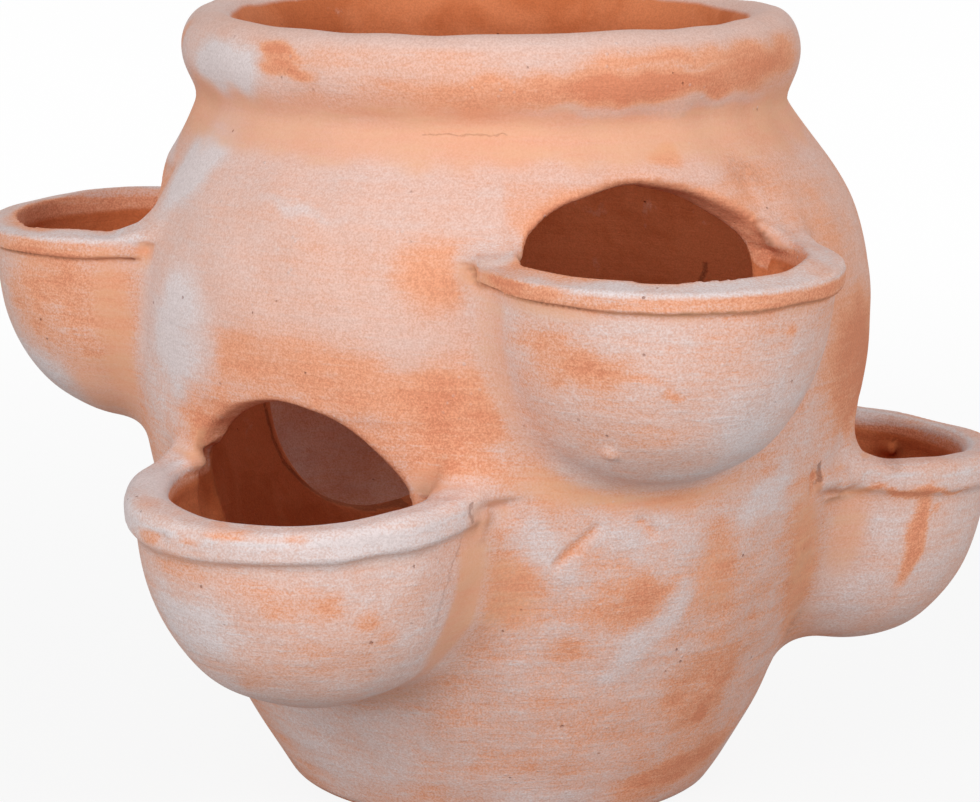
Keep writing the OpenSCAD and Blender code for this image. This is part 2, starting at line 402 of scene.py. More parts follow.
class Planter:
    """The whole planter's clay as a signed distance, below 0 inside the clay."""

    def __init__(self, jar, pockets):
        self.jar = jar
        self.sizes = pockets
        self.belly_z = jar.neck_z - jar.belly_drop
        self.low_arc = sweep(jar.belly_r - jar.foot_r, self.belly_z)
        self.high_arc = sweep(jar.belly_r - jar.neck_r, jar.belly_drop)
        self.rim_r = RIM_REACH - jar.rim_w / 2
        self.pockets = {name: Pocket(name, self, pockets) for name in POCKETS}
        self.swell = Ripple(11, 0.16)
        self.dents = Ripple(12, 0.034)
        self.lumps = [self.roll(*lump) for lump in LUMPS]
        self.nicks = [self.roll(*nick) for nick in NICKS]

    def roll(self, first, second, radius):
        """The two ends of a roll of clay and its radius, in metres."""
        ends = []
        for turn, height, out in (first, second):
            end = facing(math.radians(turn))[0] * (self.outer_r(height * MM) + out * MM)
            end[2] = height * MM
            ends.append(end)
        return *ends, radius * MM

    def with_rolls(self, points, clay):
        """The distance to the clay with its loose bits added and its nicks cut."""
        for rolls, sign in ((self.lumps, 1), (self.nicks, -1)):
            for start, end, radius in rolls:
                near = np.flatnonzero(((points - start) ** 2).sum(1) < 0.045 ** 2)
                offset = points[near] - start
                way = end - start
                share = np.clip(offset @ way / (way @ way), 0.0, 1.0)
                far = np.linalg.norm(offset - share[:, None] * way, axis=1) - radius
                clay[near] = sign * smooth_min(sign * clay[near], far, SOFT)
        return clay

    def outer_r(self, z):
        """Outer radius of the thrown wall at a height, before it is smoothed."""
        arc = self.low_arc if z < self.belly_z else self.high_arc
        return self.jar.belly_r - arc + math.sqrt(arc ** 2 - (z - self.belly_z) ** 2)

    def lean(self, z):
        """How far the thrown jar stands to the right at a height: it dried a little askew."""
        foot = 0.0025 * smooth_step(0.075, 0.020, z)
        return 0.0035 + foot - 0.0050 * smooth_step(0.250, 0.312, z)

    def outline(self, r, z):
        """Distance to the outside of the thrown wall, with no top or bottom."""
        jar = self.jar
        low = np.hypot(r - jar.belly_r + self.low_arc, z - self.belly_z) - self.low_arc
        high = np.hypot(r - jar.belly_r + self.high_arc, z - self.belly_z) - self.high_arc
        wall = np.where(z < self.belly_z, low, high)
        collar = np.maximum(r - jar.neck_r, self.belly_z - z)
        return smooth_min(wall, collar, jar.neck_round)

    def unevenness(self, points):
        """How far the hand-made surface lies inside the drawn one."""
        return self.jar.swell * self.swell.at(points) + self.jar.dent * self.dents.at(points)

    def upright(self, points):
        """The points moved so that the leaning jar stands straight."""
        straight = points.copy()
        straight[:, 0] -= self.lean(points[:, 2])
        return straight

    def near(self, pocket, points):
        """Which points are close enough to a pocket for it to matter."""
        offset = points - pocket.middle
        return np.flatnonzero((offset ** 2).sum(1) < pocket.reach ** 2)

    def skin_of_solid(self, points, outline):
        """Distance to the outside of the planter with every hollow filled."""
        z = points[:, 2]
        solid = smooth_max(outline, z - COLLAR_Z, CRISP)
        solid = smooth_max(solid, -z, self.jar.foot_round)
        for pocket in self.pockets.values():
            near = self.near(pocket, points)
            q = points[near]
            under = smooth_step(0.006, -0.012, q[:, 2] - pocket.height)
            fill = CRISP + (pocket.blend - CRISP) * under
            solid[near] = smooth_min(solid[near], pocket.cup(q), fill)
        return solid

    def clay(self, points):
        """Distance to the clay itself."""
        p = self.upright(points)
        z = p[:, 2]
        r = np.hypot(p[:, 0], p[:, 1])
        outline = self.outline(r, z)
        clay = self.skin_of_solid(p, outline)
        inside = smooth_max(outline + self.jar.wall, SLAB_TOP - z, self.jar.floor_round)
        clay = smooth_max(clay, -inside, SOFT)
        for pocket in self.pockets.values():
            near = self.near(pocket, p)
            q = p[near]
            wall = outline[near]
            hollow = smooth_max(pocket.hollow(q), -wall, LOOSE)
            clay[near] = smooth_max(clay[near], -hollow, SOFT)
            opening = smooth_max(pocket.opening(q), wall - 0.003, CRISP)
            clay[near] = smooth_max(clay[near], -opening, pocket.cut_round)
        rim = oval(r - self.rim_r, z - (RIM_TOP + RIM_FOOT) / 2, self.jar.rim_w / 2,
            (RIM_TOP - RIM_FOOT) / 2)
        clay = smooth_min(clay, rim, self.jar.rim_round)
        for pocket in self.pockets.values():
            near = self.near(pocket, p)
            wall = outline[near]
            lip = smooth_max(pocket.lip(p[near]), -wall, 0.001)
            top = smooth_step(-0.001, 0.004, p[near, 2] - pocket.height)
            fill = pocket.lip_fill + 0.012 * smooth_step(0.016, 0.003, wall) * top
            clay[near] = smooth_min(clay[near], lip, fill)
        clay = self.with_rolls(p, clay)
        clay = smooth_max(clay, DRAIN_R - r, SOFT)
        return clay + self.unevenness(points) * smooth_step(0.0, 0.006, z)

    def slope(self, points, step=0.0004):
        """Which way is out of the clay at each point."""
        corners = np.array([[1, -1, -1], [-1, -1, 1], [-1, 1, -1], [1, 1, 1]], float)
        total = np.zeros_like(points)
        for corner in corners:
            total += corner * self.clay(points + corner * step)[:, None]
        return total / (4 * step)


# ---------------------------------------------------------------- meshes

def add_object(name, data):
    """An object that is put into the scene."""
    made = bpy.data.objects.new(name, data)
    bpy.context.scene.collection.objects.link(made)
    return made


def make_mesh(name, points, faces):
    """A mesh from an array of points and an array of faces with the same number of corners."""
    mesh = bpy.data.meshes.new(name)
    corners = faces.shape[1]
    mesh.vertices.add(len(points))
    mesh.vertices.foreach_set("co", np.asarray(points, np.float32).ravel())
    mesh.loops.add(faces.size)
    mesh.loops.foreach_set("vertex_index", faces.astype(np.int32).ravel())
    mesh.polygons.add(len(faces))
    mesh.polygons.foreach_set("loop_start", np.arange(0, faces.size, corners, dtype=np.int32))
    mesh.update(calc_edges=True)
    mesh.validate()
    return mesh


def shifted(size, corner):
    """The part of a grid that has a size and starts at a corner."""
    return tuple(slice(c, c + n) for c, n in zip(corner, size))


def grid_values(form, low, cells, cell, block=8):
    """The form's value at every corner of a grid, worked out only near its surface."""
    coarse = [np.arange(n // block) * block + block / 2 for n in cells]
    centres = np.stack(np.meshgrid(*coarse, indexing="ij"), -1).reshape(-1, 3) * cell + low
    rough = form(centres).reshape([n // block for n in cells])
    fine = np.abs(rough) < block * cell * math.sqrt(3) / 2 * 1.35
    for axis in range(3):
        fine = fine.repeat(block, axis)
        rough = rough.repeat(block, axis)
    values = np.pad(rough.astype(np.float32), (0, 1), mode="edge")
    wanted = np.zeros(values.shape, bool)
    for corner in np.ndindex(2, 2, 2):
        wanted[shifted(cells, corner)] |= fine
    places = np.argwhere(wanted)
    for start in range(0, len(places), 400_000):
        some = places[start:start + 400_000]
        values[tuple(some.T)] = form(some * cell + low)
    return values


def settle(values):
    """Clears up the grid's faces whose corners are inside and outside by turns.

    The skin would touch itself along an edge there, so the least certain corner changes side.
    """
    for _ in range(8):
        found = 0
        for axis in range(3):
            b, c = np.delete(UNITS, axis, 0)
            steps = (0 * b, b, c, b + c)
            first, second, third, fourth = (
                values[shifted(values.shape - b - c, step)] < 0 for step in steps)
            doubtful = np.argwhere((first == fourth) & (second == third) & (first != second))
            found += len(doubtful)
            for place in doubtful:
                corners = [tuple(place + step) for step in steps]
                weakest = min(corners, key=lambda corner: abs(values[corner]))
                values[weakest] = -values[weakest] or 1e-6
        if not found:
            return


def crossing_points(values, active):
    """The mean of the points where the surface crosses each cell's edges, in cells."""
    total = np.zeros((len(active), 3))
    count = np.zeros(len(active))
    at = {c: values[tuple((active + c).T)].astype(float) for c in np.ndindex(2, 2, 2)}
    for axis, step in enumerate(UNITS):
        for corner, a in at.items():
            if corner[axis]:
                continue
            b = at[tuple(corner + step)]
            crossed = (a < 0) != (b < 0)
            share = np.where(crossed, a / np.where(crossed, a - b, 1.0), 0.0)
            total += crossed[:, None] * (corner + step * share[:, None])
            count += crossed
    return active + total / count[:, None]


def skin(form, slope, low, high, cell):
    """Points and quads of a closed skin where the form is 0, by naive surface nets."""
    cells = [int(math.ceil((b - a) / cell / 8)) * 8 for a, b in zip(low, high)]
    values = grid_values(form, low, cells, cell)
    settle(values)
    inside = values < 0
    filled = sum(inside[shifted(cells, corner)].astype(np.int8) for corner in np.ndindex(2, 2, 2))
    active = np.argwhere((filled > 0) & (filled < 8))
    order = np.full(cells, -1, np.int64)
    order[tuple(active.T)] = np.arange(len(active))
    points = crossing_points(values, active) * cell + low
    quads = np.concatenate([quads_across(inside, order, axis) for axis in range(3)])
    for furthest in (0.4, 0.4, 0.12):
        way = slope(points)
        steep = np.maximum((way ** 2).sum(1), 0.05)
        move = -way * (form(points) / steep)[:, None]
        points += np.clip(move, -furthest * cell, furthest * cell)
        points = relaxed(points, quads)
    return points, quads


def relaxed(points, quads, share=0.5):
    """The points moved part of the way to the middle of their neighbours."""
    ends = np.concatenate([quads, quads]).ravel()
    others = np.concatenate([np.roll(quads, 1, 1), np.roll(quads, -1, 1)]).ravel()
    count = np.bincount(ends, minlength=len(points))
    middle = [np.bincount(ends, points[others, axis], len(points)) / count for axis in range(3)]
    return points + share * (np.stack(middle, 1) - points)


def quads_across(inside, order, axis):
    """A quad round each grid edge along one axis that the surface crosses.

    The order has the number of each cell's point.
    """
    along = UNITS[axis]
    b, c = np.delete(UNITS, axis, 0)
    low, high = (inside[shifted(inside.shape - along, start)] for start in (0 * along, along))
    edges = np.argwhere(low != high)
    edges = edges[(edges @ b > 0) & (edges @ c > 0)]
    outward = low[tuple(edges.T)] != (axis == 1)
    quad = np.stack([order[tuple((edges - back).T)] for back in (b + c, c, 0 * b, b)], 1)
    quad[~outward] = quad[~outward][:, ::-1]
    return quad


def turned(name, profile, steps=128):
    """A closed ring or solid turned about Z from a closed outline of (radius, height)."""
    points, rows, faces = [], [], []
    for radius, height in profile:
        turns = [2 * math.pi * k / steps for k in range(1 if radius < 1e-6 else steps)]
        rows.append(range(len(points), len(points) + len(turns)))
        points += [(radius * math.cos(a), radius * math.sin(a), height) for a in turns]
    for row, after in zip(rows, rows[1:] + rows[:1]):
        if len(row) + len(after) > 2:
            for k in range(steps):
                corners = [line[turn % len(line)]
                    for line, turn in ((row, k), (row, k + 1), (after, k + 1), (after, k))]
                faces.append(list(dict.fromkeys(corners)))
    mesh = bpy.data.meshes.new(name)
    mesh.from_pydata(points, [], faces)
    solid = bmesh.new()
    solid.from_mesh(mesh)
    if solid.calc_volume(signed=True) < 0:
        bmesh.ops.reverse_faces(solid, faces=solid.faces)
    solid.to_mesh(mesh)
    solid.free()
    return mesh


def cut(solid, tool, operation):
    """What is left of a solid mesh after a Boolean with a tool mesh."""
    work = add_object("work", solid)
    knife = add_object("knife", tool)
    step = work.modifiers.new("cut", "BOOLEAN")
    step.operation = operation
    step.solver = "MANIFOLD"
    step.object = knife
    shaped = work.evaluated_get(bpy.context.evaluated_depsgraph_get())
    result = bpy.data.meshes.new_from_object(shaped)
    bpy.data.objects.remove(work)
    bpy.data.objects.remove(knife)
    if not len(result.polygons):
        raise RuntimeError(f"nothing is left of {solid.name} after its cut with {tool.name}")
    return result


def split(solid, tool):
    """The two parts of a solid: what lies inside the tool and what lies outside it."""
    return cut(solid, tool, "INTERSECT"), cut(solid, tool, "DIFFERENCE")


# ---------------------------------------------------------------- where the pieces part

def leaning(mesh, planter, points):
    """A mesh with new points, moved over as the jar leans."""
    points[:, 0] += planter.lean(points[:, 2])
    mesh.vertices.foreach_set("co", points.ravel())
    mesh.update()
    return mesh


def jar_core(planter, grow, name):
    """A solid just under or over the jar's uneven surface, leaning as the jar does."""
    ring = [(planter.outer_r(max(z, 0.0)) + grow, z) for z in np.linspace(BELOW, CORE_TOP, 60)]
    mesh = turned(name, [(0.0, BELOW), *ring, (0.0, CORE_TOP)])
    points = vertex_points(mesh)
    flat = np.hypot(points[:, 0], points[:, 1])
    inward = planter.unevenness(points) * (flat > 0.01)
    points[:, :2] *= (1 - inward / np.maximum(flat, 0.01))[:, None]
    return leaning(mesh, planter, points)


def bowl_profile(radius, depth, steps=24):
    """A quarter oval from the side of a bowl down to its bottom."""
    turns = [math.pi / 2 * i / steps for i in range(steps + 1)]
    return [(radius * math.cos(a), -depth * math.sin(a)) for a in turns[:-1]] + [(0.0, -depth)]


def placed(mesh, planter, pocket):
    """A mesh moved from a pocket's own frame to its place on the leaning jar."""
    mesh.transform(pocket.to_world())
    return leaning(mesh, planter, vertex_points(mesh))


def split_pocket(solid, planter, pocket, core, collar):
    """Cuts one pocket off a solid: its cup, lip and luting, and what is left of the solid."""
    sizes = planter.sizes
    cup_r = sizes.mouth_r + sizes.cup_wall
    depth = sizes.cup_depth + sizes.cup_wall
    inner = sizes.mouth_r - 0.003
    outer = cup_r + sizes.lip_proud + 0.005
    spread = pocket.blend * 0.8
    top = sizes.lip_h / 2 + 0.003
    seat = -sizes.lip_h / 2 - 0.0012
    outside = bowl_profile(cup_r + spread, depth + spread)
    inside = bowl_profile(inner, sizes.cup_depth - 0.003)[::-1]
    cell = turned("pocket cell", [(inner, top), (outer, top), (outer, 0.0), *outside, *inside])
    cell = cut(placed(cell, planter, pocket), core, "DIFFERENCE")
    pocket_clay, rest = split(solid, cell)
    near, far = inner - 0.02, outer + 0.02
    band = turned("lip cell", [(near, top + 0.01), (far, top + 0.01), (far, seat), (near, seat)])
    lip, bowl = split(pocket_clay, placed(band, planter, pocket))
    under = cup_r - 0.004
    inner_bowl = turned("luting back", [(0.0, 0.02), (under, 0.02),
        *bowl_profile(under, depth - 0.004)])
    ring = cut(collar, placed(inner_bowl, planter, pocket), "DIFFERENCE")
    luting, cup = split(bowl, ring)
    return {"cup": cup, "lip": lip, "luting": luting}, rest


def disc(foot):
    """The outline of a wide disc from a height to well above the jar."""
    return [(0.0, foot), (ASIDE, foot), (ASIDE, ABOVE), (0.0, ABOVE)]


@functools.cache
def carved_clay():
    """Every piece of the planter as a mesh, cut from one skin drawn on the clay."""
    scene = bpy.context.scene
    planter = Planter(scene.planter_jar, scene.planter_pockets)
    jar = planter.jar
    low, high = (np.array(corner) for corner in CAD_BOX)
    margin = 0.009
    cell = 0.002
    points, quads = skin(planter.clay, planter.slope, low - margin, high + margin, cell)
    rest = make_mesh("clay", points, quads)
    core = jar_core(planter, -0.0015, "jar core")
    collar = jar_core(planter, planter.sizes.luting_w, "luting reach")
    pieces = {}
    for name, pocket in planter.pockets.items():
        parts, rest = split_pocket(rest, planter, pocket, core, collar)
        pieces |= {f"{kind}_{name}": mesh for kind, mesh in parts.items()}
    tongue = jar.neck_r - jar.wall
    seat = [(0.0, RIM_FOOT), (tongue, RIM_FOOT), (tongue, COLLAR_Z), (jar.neck_r, COLLAR_Z),
        (jar.neck_r, RIM_FOOT), *disc(RIM_FOOT)[1:]]
    for node, profile in (("rim_roll", seat), ("shoulder", disc(SECTION_Z)),
            ("lower_wall", disc(SLAB_TOP))):
        pieces[node], rest = split(rest, turned(f"{node} cell", profile))
    pieces["base_slab"] = rest
    return planter, pieces


# ---------------------------------------------------------------- marks left by hand and by lime, and painted shade

# Marks on the thrown wall and the rim, under what they change. Each has its place in degrees
# round the jar and mm above the ground, its half width and half height in mm, its tilt in
# degrees, and how much it adds. "bloom" runs from 0, raw clay, to 1, chalky lime.
WALL_MARKS = {
    "bloom": (
        (-58, 313, 25, 11, 0, 0.60), (-95, 318, 60, 16, 0, 0.30),
        (-41.3, 322, 11.5, 2.8, -4, -0.46), (-39.5, 314.5, 15, 3.3, -4, -0.50),
        (-19, 318, 44, 9, 0, -0.14), (0, 308, 74, 6, 3, -0.26), (42, 314, 62, 9, 2, -0.46),
        (31, 316.5, 26, 2.6, 1, 0.30), (78, 315, 20, 13, 0, -0.04), (35, 302, 50, 2.6, 0, 0.34),
        (31, 283, 6, 4, 0, -0.35), (-64, 274, 22, 13, 45, 0.56), (-55, 205, 20, 23, 15, 0.50),
        (-66, 225, 30, 60, 0, 0.14), (-34, 262, 18, 2, -8, 0.20), (-16, 268, 60, 16, 0, 0.10),
        (-9, 242, 15, 13, 0, -0.34), (-28, 199, 66, 13, -6, -0.26), (-6, 184, 18, 28, 0, -0.26),
        (-50, 177, 15, 14, 0, -0.32), (70, 188, 30, 26, 0, -0.54), (66, 236, 30, 26, 0, -0.10),
        (47, 274, 14, 7, -10, -0.18), (-2, 152, 8, 8, 0, 0.36), (7, 131, 22, 8, -50, 0.32),
        (24, 134, 23, 11, -20, 0.30), (27, 94, 26, 7, 52, 0.36), (46, 146, 16, 8, 30, 0.36),
        (1, 112, 18, 14, -20, -0.20), (21, 107, 20, 9, 10, -0.30), (37, 116, 11, 18, 15, -0.22),
        (12, 86, 9, 5, 0, -0.24), (44, 19, 34, 8, 12, -0.34), (42, 60, 20, 20, 0, -0.26),
        (64, 104, 38, 11, -58, -0.26), (14, 13, 26, 6, 0, 0.20), (45, 47, 3, 4, 0, -0.50),
        (-40, 40, 40, 26, 0, 0.26), (19, 158, 44, 9, -4, -0.22), (1, 128, 8, 26, 0, -0.16),
    ),
    "slip": (
        (19, 158, 46, 12, -4, 0.95), (0, 292, 600, 12, 0, 0.90), (-8, 160, 14, 8, 20, 0.55),
        (64, 110, 38, 12, -58, 0.85), (0, 114, 18, 16, -20, 0.75), (37, 116, 10, 17, 15, 0.55),
    ),
    # Soil stains; the broad mark low on the front is painted shade over the lower body
    "soil": (
        (47, 273, 10, 5, -10, 0.45), (20, 80, 170, 62, 0, 0.34), (70, 190, 26, 24, 0, 0.25),
        (77, 74, 5, 7, 0, 0.55), (35, 301, 46, 2, 0, 0.25),
    ),
}

# Marks on the cups and lips: the place is in degrees round the mouth, from its foremost point
# towards the right, and mm above the mouth, where less than 0 is down the cup.
CUP_MARKS = {
    "upper_left": {
        "bloom": (
            (70, -28, 34, 26, 0, -0.36), (84, 1, 20, 8, 0, 0.24), (34, -58, 22, 14, 0, 0.26),
            (50, 1, 24, 8, 0, 0.20),
        ),
        "slip": (
            (88, -30, 9, 26, 0, 0.90), (78, -64, 18, 16, 0, 0.80),
        ),
    },
    "upper_front": {
        "bloom": (
            (-58, -25, 22, 9, -25, -0.24), (-46, -29, 14, 7, 0, -0.18),
            (-74, -1, 18, 5, 0, -0.24), (-19, -39, 3, 2.5, 0, -0.36), (-29, -33, 9, 2, 0, -0.20),
            (22, -16, 2.5, 2, 0, -0.32), (19, -48, 22, 16, 0, 0.18), (0, -12, 60, 6, 0, -0.06),
            (-10, -76, 60, 12, 0, 0.14),
        ),
        "slip": (
            (-92, -34, 10, 40, 0, 0.70),
        ),
    },
    "lower_front": {
        "bloom": (
            (-15, -13, 14, 5, 0, -0.20), (24, -24, 18, 7, -15, -0.24), (38, -25, 7, 5, 0, -0.22),
            (49, -33, 4, 5, 0, -0.29), (59, -43, 4, 4, 0, -0.24), (5, -61, 8, 5, 0, -0.22),
            (-14, -37, 21, 13, 0, 0.30), (72, -50, 18, 17, 0, 0.24), (30, -70, 70, 10, 0, 0.14),
            (-26, -3, 6, 2.5, 0, -0.43), (-8, 2, 6, 2, 0, -0.43), (6, 4, 9, 2, 0, -0.36),
            (28, 2, 5, 2, 0, -0.43), (-60, 1, 34, 7, 0, 0.24), (5, 0, 140, 8, 0, 0.16),
        ),
        "slip": (
            (94, -24, 9, 26, 0, 0.90), (92, -52, 9, 24, 0, 0.85),
        ),
        # A darker patch at the bottom of the cup
        "soil": (
            (10, -80, 60, 10, 0, 0.22),
        ),
    },
    "lower_right": {
        "bloom": (
            (-70, -28, 4.2, 20, 0, -0.60), (-82, -20, 8, 9, 0, 0.18),
            (-76, -5.5, 26, 1.6, 0, -0.60), (-95, -52, 16, 16, 0, 0.20),
            (-63, -15, 2.5, 2, 0, -0.36),
        ),
        "slip": (
            (-98, -26, 10, 22, 0, 0.80),
        ),
        "soil": (
            (-84, 7, 5, 3, 0, 0.60),
        ),
    },
    "lower_rear": {
        "bloom": (
            (-40, -24, 20, 8, 20, -0.27), (30, -40, 18, 14, 0, 0.26), (55, -12, 10, 5, 0, -0.26),
            (0, 2, 12, 3, 0, -0.32),
        ),
        "slip": (
            (-92, -26, 10, 28, 0, 0.70),
        ),
    },
}
MASKS = ("bloom", "slip", "soil")

# Thin cracks and drag lines in the skin of the wall: their two ends in degrees and mm above
# the ground, their width in mm and how dark they are
CRACKS = (
    ((-13, 292), (2.5, 292.6), 0.5, 0.45),
    ((-2.8, 154), (-2.6, 147), 0.8, 0.70),
    ((-4.0, 141), (-7.2, 107), 0.5, 0.30),
    ((60.8, 151), (61.2, 144), 1.5, 0.90),
)
# A crack on the inside of the wall, and the torn edge of the rear opening there
FAR_CRACK = ((138, 204), (139, 197))
TORN_EDGE = ((-130, 150), (-131, 127), (-133, 115), (-137, 105), (-143, 95.5), (-151.5, 89),
    (-161, 90))


def scattered_marks():
    """Marks for the sides and the back, of the same kinds and sizes as those in front."""
    draw = np.random.default_rng(31)
    marks = []
    for _ in range(46):
        amount = draw.choice((-0.38, -0.30, 0.26, 0.36))
        marks.append((draw.uniform(84, 276), draw.uniform(8, 322), draw.uniform(8, 26),
            draw.uniform(4, 14), draw.uniform(-50, 50), amount))
    return tuple(marks)


def marked(marks, degrees, height, radius):
    """How much the marks add to each mask, at points on a turned surface."""
    added = {name: np.zeros(len(height)) for name in MASKS}
    for name, rows in marks.items():
        for turn, middle, half_w, half_h, tilt, amount in rows:
            across = np.radians((degrees - turn + 180) % 360 - 180) * radius / MM
            up = height / MM - middle
            c, s = math.cos(math.radians(tilt)), math.sin(math.radians(tilt))
            far = np.hypot((across * c + up * s) / half_w, (up * c - across * s) / half_h)
            added[name] += amount * smooth_step(1.6, 0.5, far)
    return added


class ClayMasks:
    """What the clay's form and the marks say about each point of a mesh."""

    def __init__(self, planter):
        self.planter = planter
        self.wall_marks = WALL_MARKS | {"bloom": WALL_MARKS["bloom"] + scattered_marks()}
        self.sway = [Ripple(seed, 0.020) for seed in (21, 22)]
        self.patches = Ripple(23, 0.085)

    def on_wall(self, points, p, r, sway, lift):
        """The marks on the thrown jar, and the even tone of the top of its rim."""
        z = p[:, 2]
        radius = np.maximum(r, 0.05)
        degrees = np.degrees(np.arctan2(p[:, 0], -p[:, 1]) + sway / radius)
        masks = marked(self.wall_marks, degrees, z + lift, radius)
        masks["bloom"] += WALL_LIME + PATCH_LIME * self.patches.at(points)
        top = smooth_step(RIM_TOP - 0.008, RIM_TOP - 0.004, z)
        masks["patchy"] = (0.45 + 0.55 * smooth_step(0.215, 0.165, z)) * (1 - 0.5 * top)
        masks["bloom"] += (RIM_TOP_LIME - masks["bloom"]) * 0.7 * top
        return masks

    def on_pocket(self, name, q, sway, lift):
        """The marks on a pocket's cup and lip, at points near it."""
        pocket = self.planter.pockets[name]
        out, side, up = pocket.local(q)
        around = np.hypot(out, side)
        radius = np.maximum(around, 0.02)
        degrees = np.degrees(np.arctan2(side, out) + sway / radius)
        masks = marked(CUP_MARKS[name], degrees, up + lift, radius)
        masks["bloom"] += CUP_LIME + PATCH_LIME * self.patches.at(q)
        masks["patchy"] = np.full(len(q), CUP_PATCHY)
        band = smooth_step(0.002, 0.0, pocket.lip(q))
        top = smooth_step(0.0032, 0.0058, up + 0.3 * (around - pocket.lip_middle))
        masks["bloom"] += band * pocket.lip_bloom(top)
        return masks

    def bare(self, p, r, outline, shrunk):
        """Where the clay is unwashed, inside the jar and its cups, and where a knife cut it."""
        z = p[:, 2]
        # How far a point lies below the outside of the jar with all its hollows filled: almost a
        # wall's thickness on the inside, and less than that on the faces that the knife left
        deep = -self.planter.skin_of_solid(p, outline)
        inside = smooth_step(0.0095, 0.0125, deep + shrunk) * (z < COLLAR_Z)
        cut_face = smooth_step(0.0002, 0.0014, deep - shrunk) * (1 - inside)
        # The inside of the neck
        inside = np.maximum(inside, smooth_step(0.112, 0.106, r) * (z > 0.25))
        for name, pocket in self.planter.pockets.items():
            near = self.planter.near(pocket, p)
            up = pocket.local(p[near])[2]
            # The cup's hollow, and the edge of the wall that shows down in it
            hollow = smooth_step(0.004, 0.002, np.abs(pocket.hollow(p[near])))
            hollow *= smooth_step(0.002, -0.007, up) * (outline[near] > -0.004)
            edge = smooth_step(0.0006, 0.0022, (deep - shrunk)[near])
            edge *= smooth_step(-0.004, -0.010, up) * smooth_step(0.0125, 0.0105, deep[near])
            # The rear cup's hollow keeps only part of the unwashed colour, so it is paler: painted
            # light
            unwashed = REAR_UNWASHED_AFTER_PAINTED_LIGHT if name == "lower_rear" else 1.0
            inside[near] += (unwashed - inside[near]) * np.maximum(hollow, edge)
        return inside, cut_face

    def work_out(self, points, way):
        """Every mask at some points of the skin, where way is the direction out of the clay."""
        planter = self.planter
        p = planter.upright(points)
        r = np.hypot(p[:, 0], p[:, 1])
        outline = planter.outline(r, p[:, 2])
        sway, lift = (0.0010 * ripple.at(points) for ripple in self.sway)
        masks = self.on_wall(points, p, r, sway, lift)
        for name, pocket in planter.pockets.items():
            near = planter.near(pocket, p)
            q = p[near]
            share = smooth_step(0.009, 0.002, np.minimum(pocket.cup(q), pocket.lip(q)))
            for mask, values in self.on_pocket(name, q, sway[near], lift[near]).items():
                masks[mask][near] += (values - masks[mask][near]) * share
        inside, cut_face = self.bare(p, r, outline, planter.unevenness(points))
        masks["bloom"] += (CUT_LIME - masks["bloom"]) * 0.9 * cut_face
        # How much clay lies within a short way of the surface: in front of it in a hollow or a
        # corner, and missing behind it on an edge
        cavity = 1 - planter.clay(points + way * 0.014) / 0.014
        crease = 1 - planter.clay(points + way * 0.0025) / 0.0025
        ridge = 1 + planter.clay(points - way * 0.004) / 0.004
        masks["slip"] = np.maximum(masks["slip"], smooth_step(0.05, 0.40, cavity))
        masks["slip"] *= (1 - inside) * (1 - 0.8 * cut_face)
        masks["inside"] = inside
        # Painted shade for the corners and creases: how much clay lies just in front of the
        # surface
        masks["crease"] = smooth_step(0.14, 0.75, crease)
        masks["worn"] = smooth_step(0.15, 0.60, ridge) * (1 - inside)
        return masks


# ---------------------------------------------------------------- materials

class Wire:
    """One output of a shader node, which plain arithmetic adds Math nodes to."""

    def __init__(self, recipe, node, key=0):
        self.recipe = recipe
        self.node = node
        self.key = key

    def out(self, key):
        """Another output of the same node."""
        return Wire(self.recipe, self.node, key)

    def maths(self, operation, *values):
        return self.recipe.node("ShaderNodeMath", dict(enumerate(values)), operation=operation)

    def __add__(self, other):
        return self.maths("ADD", self, other)

    def __sub__(self, other):
        return self.maths("SUBTRACT", self, other)

    def __rsub__(self, other):
        return self.maths("SUBTRACT", other, self)

    def __mul__(self, other):
        return self.maths("MULTIPLY", self, other)

    __radd__ = __add__
    __rmul__ = __mul__

    def between(self, low, high):
        """0 where this is low, 1 where it is high, and an even curve between."""
        return self.recipe.node("ShaderNodeMapRange", {"Value": self, "From Min": low,
            "From Max": high}, interpolation_type="SMOOTHSTEP")


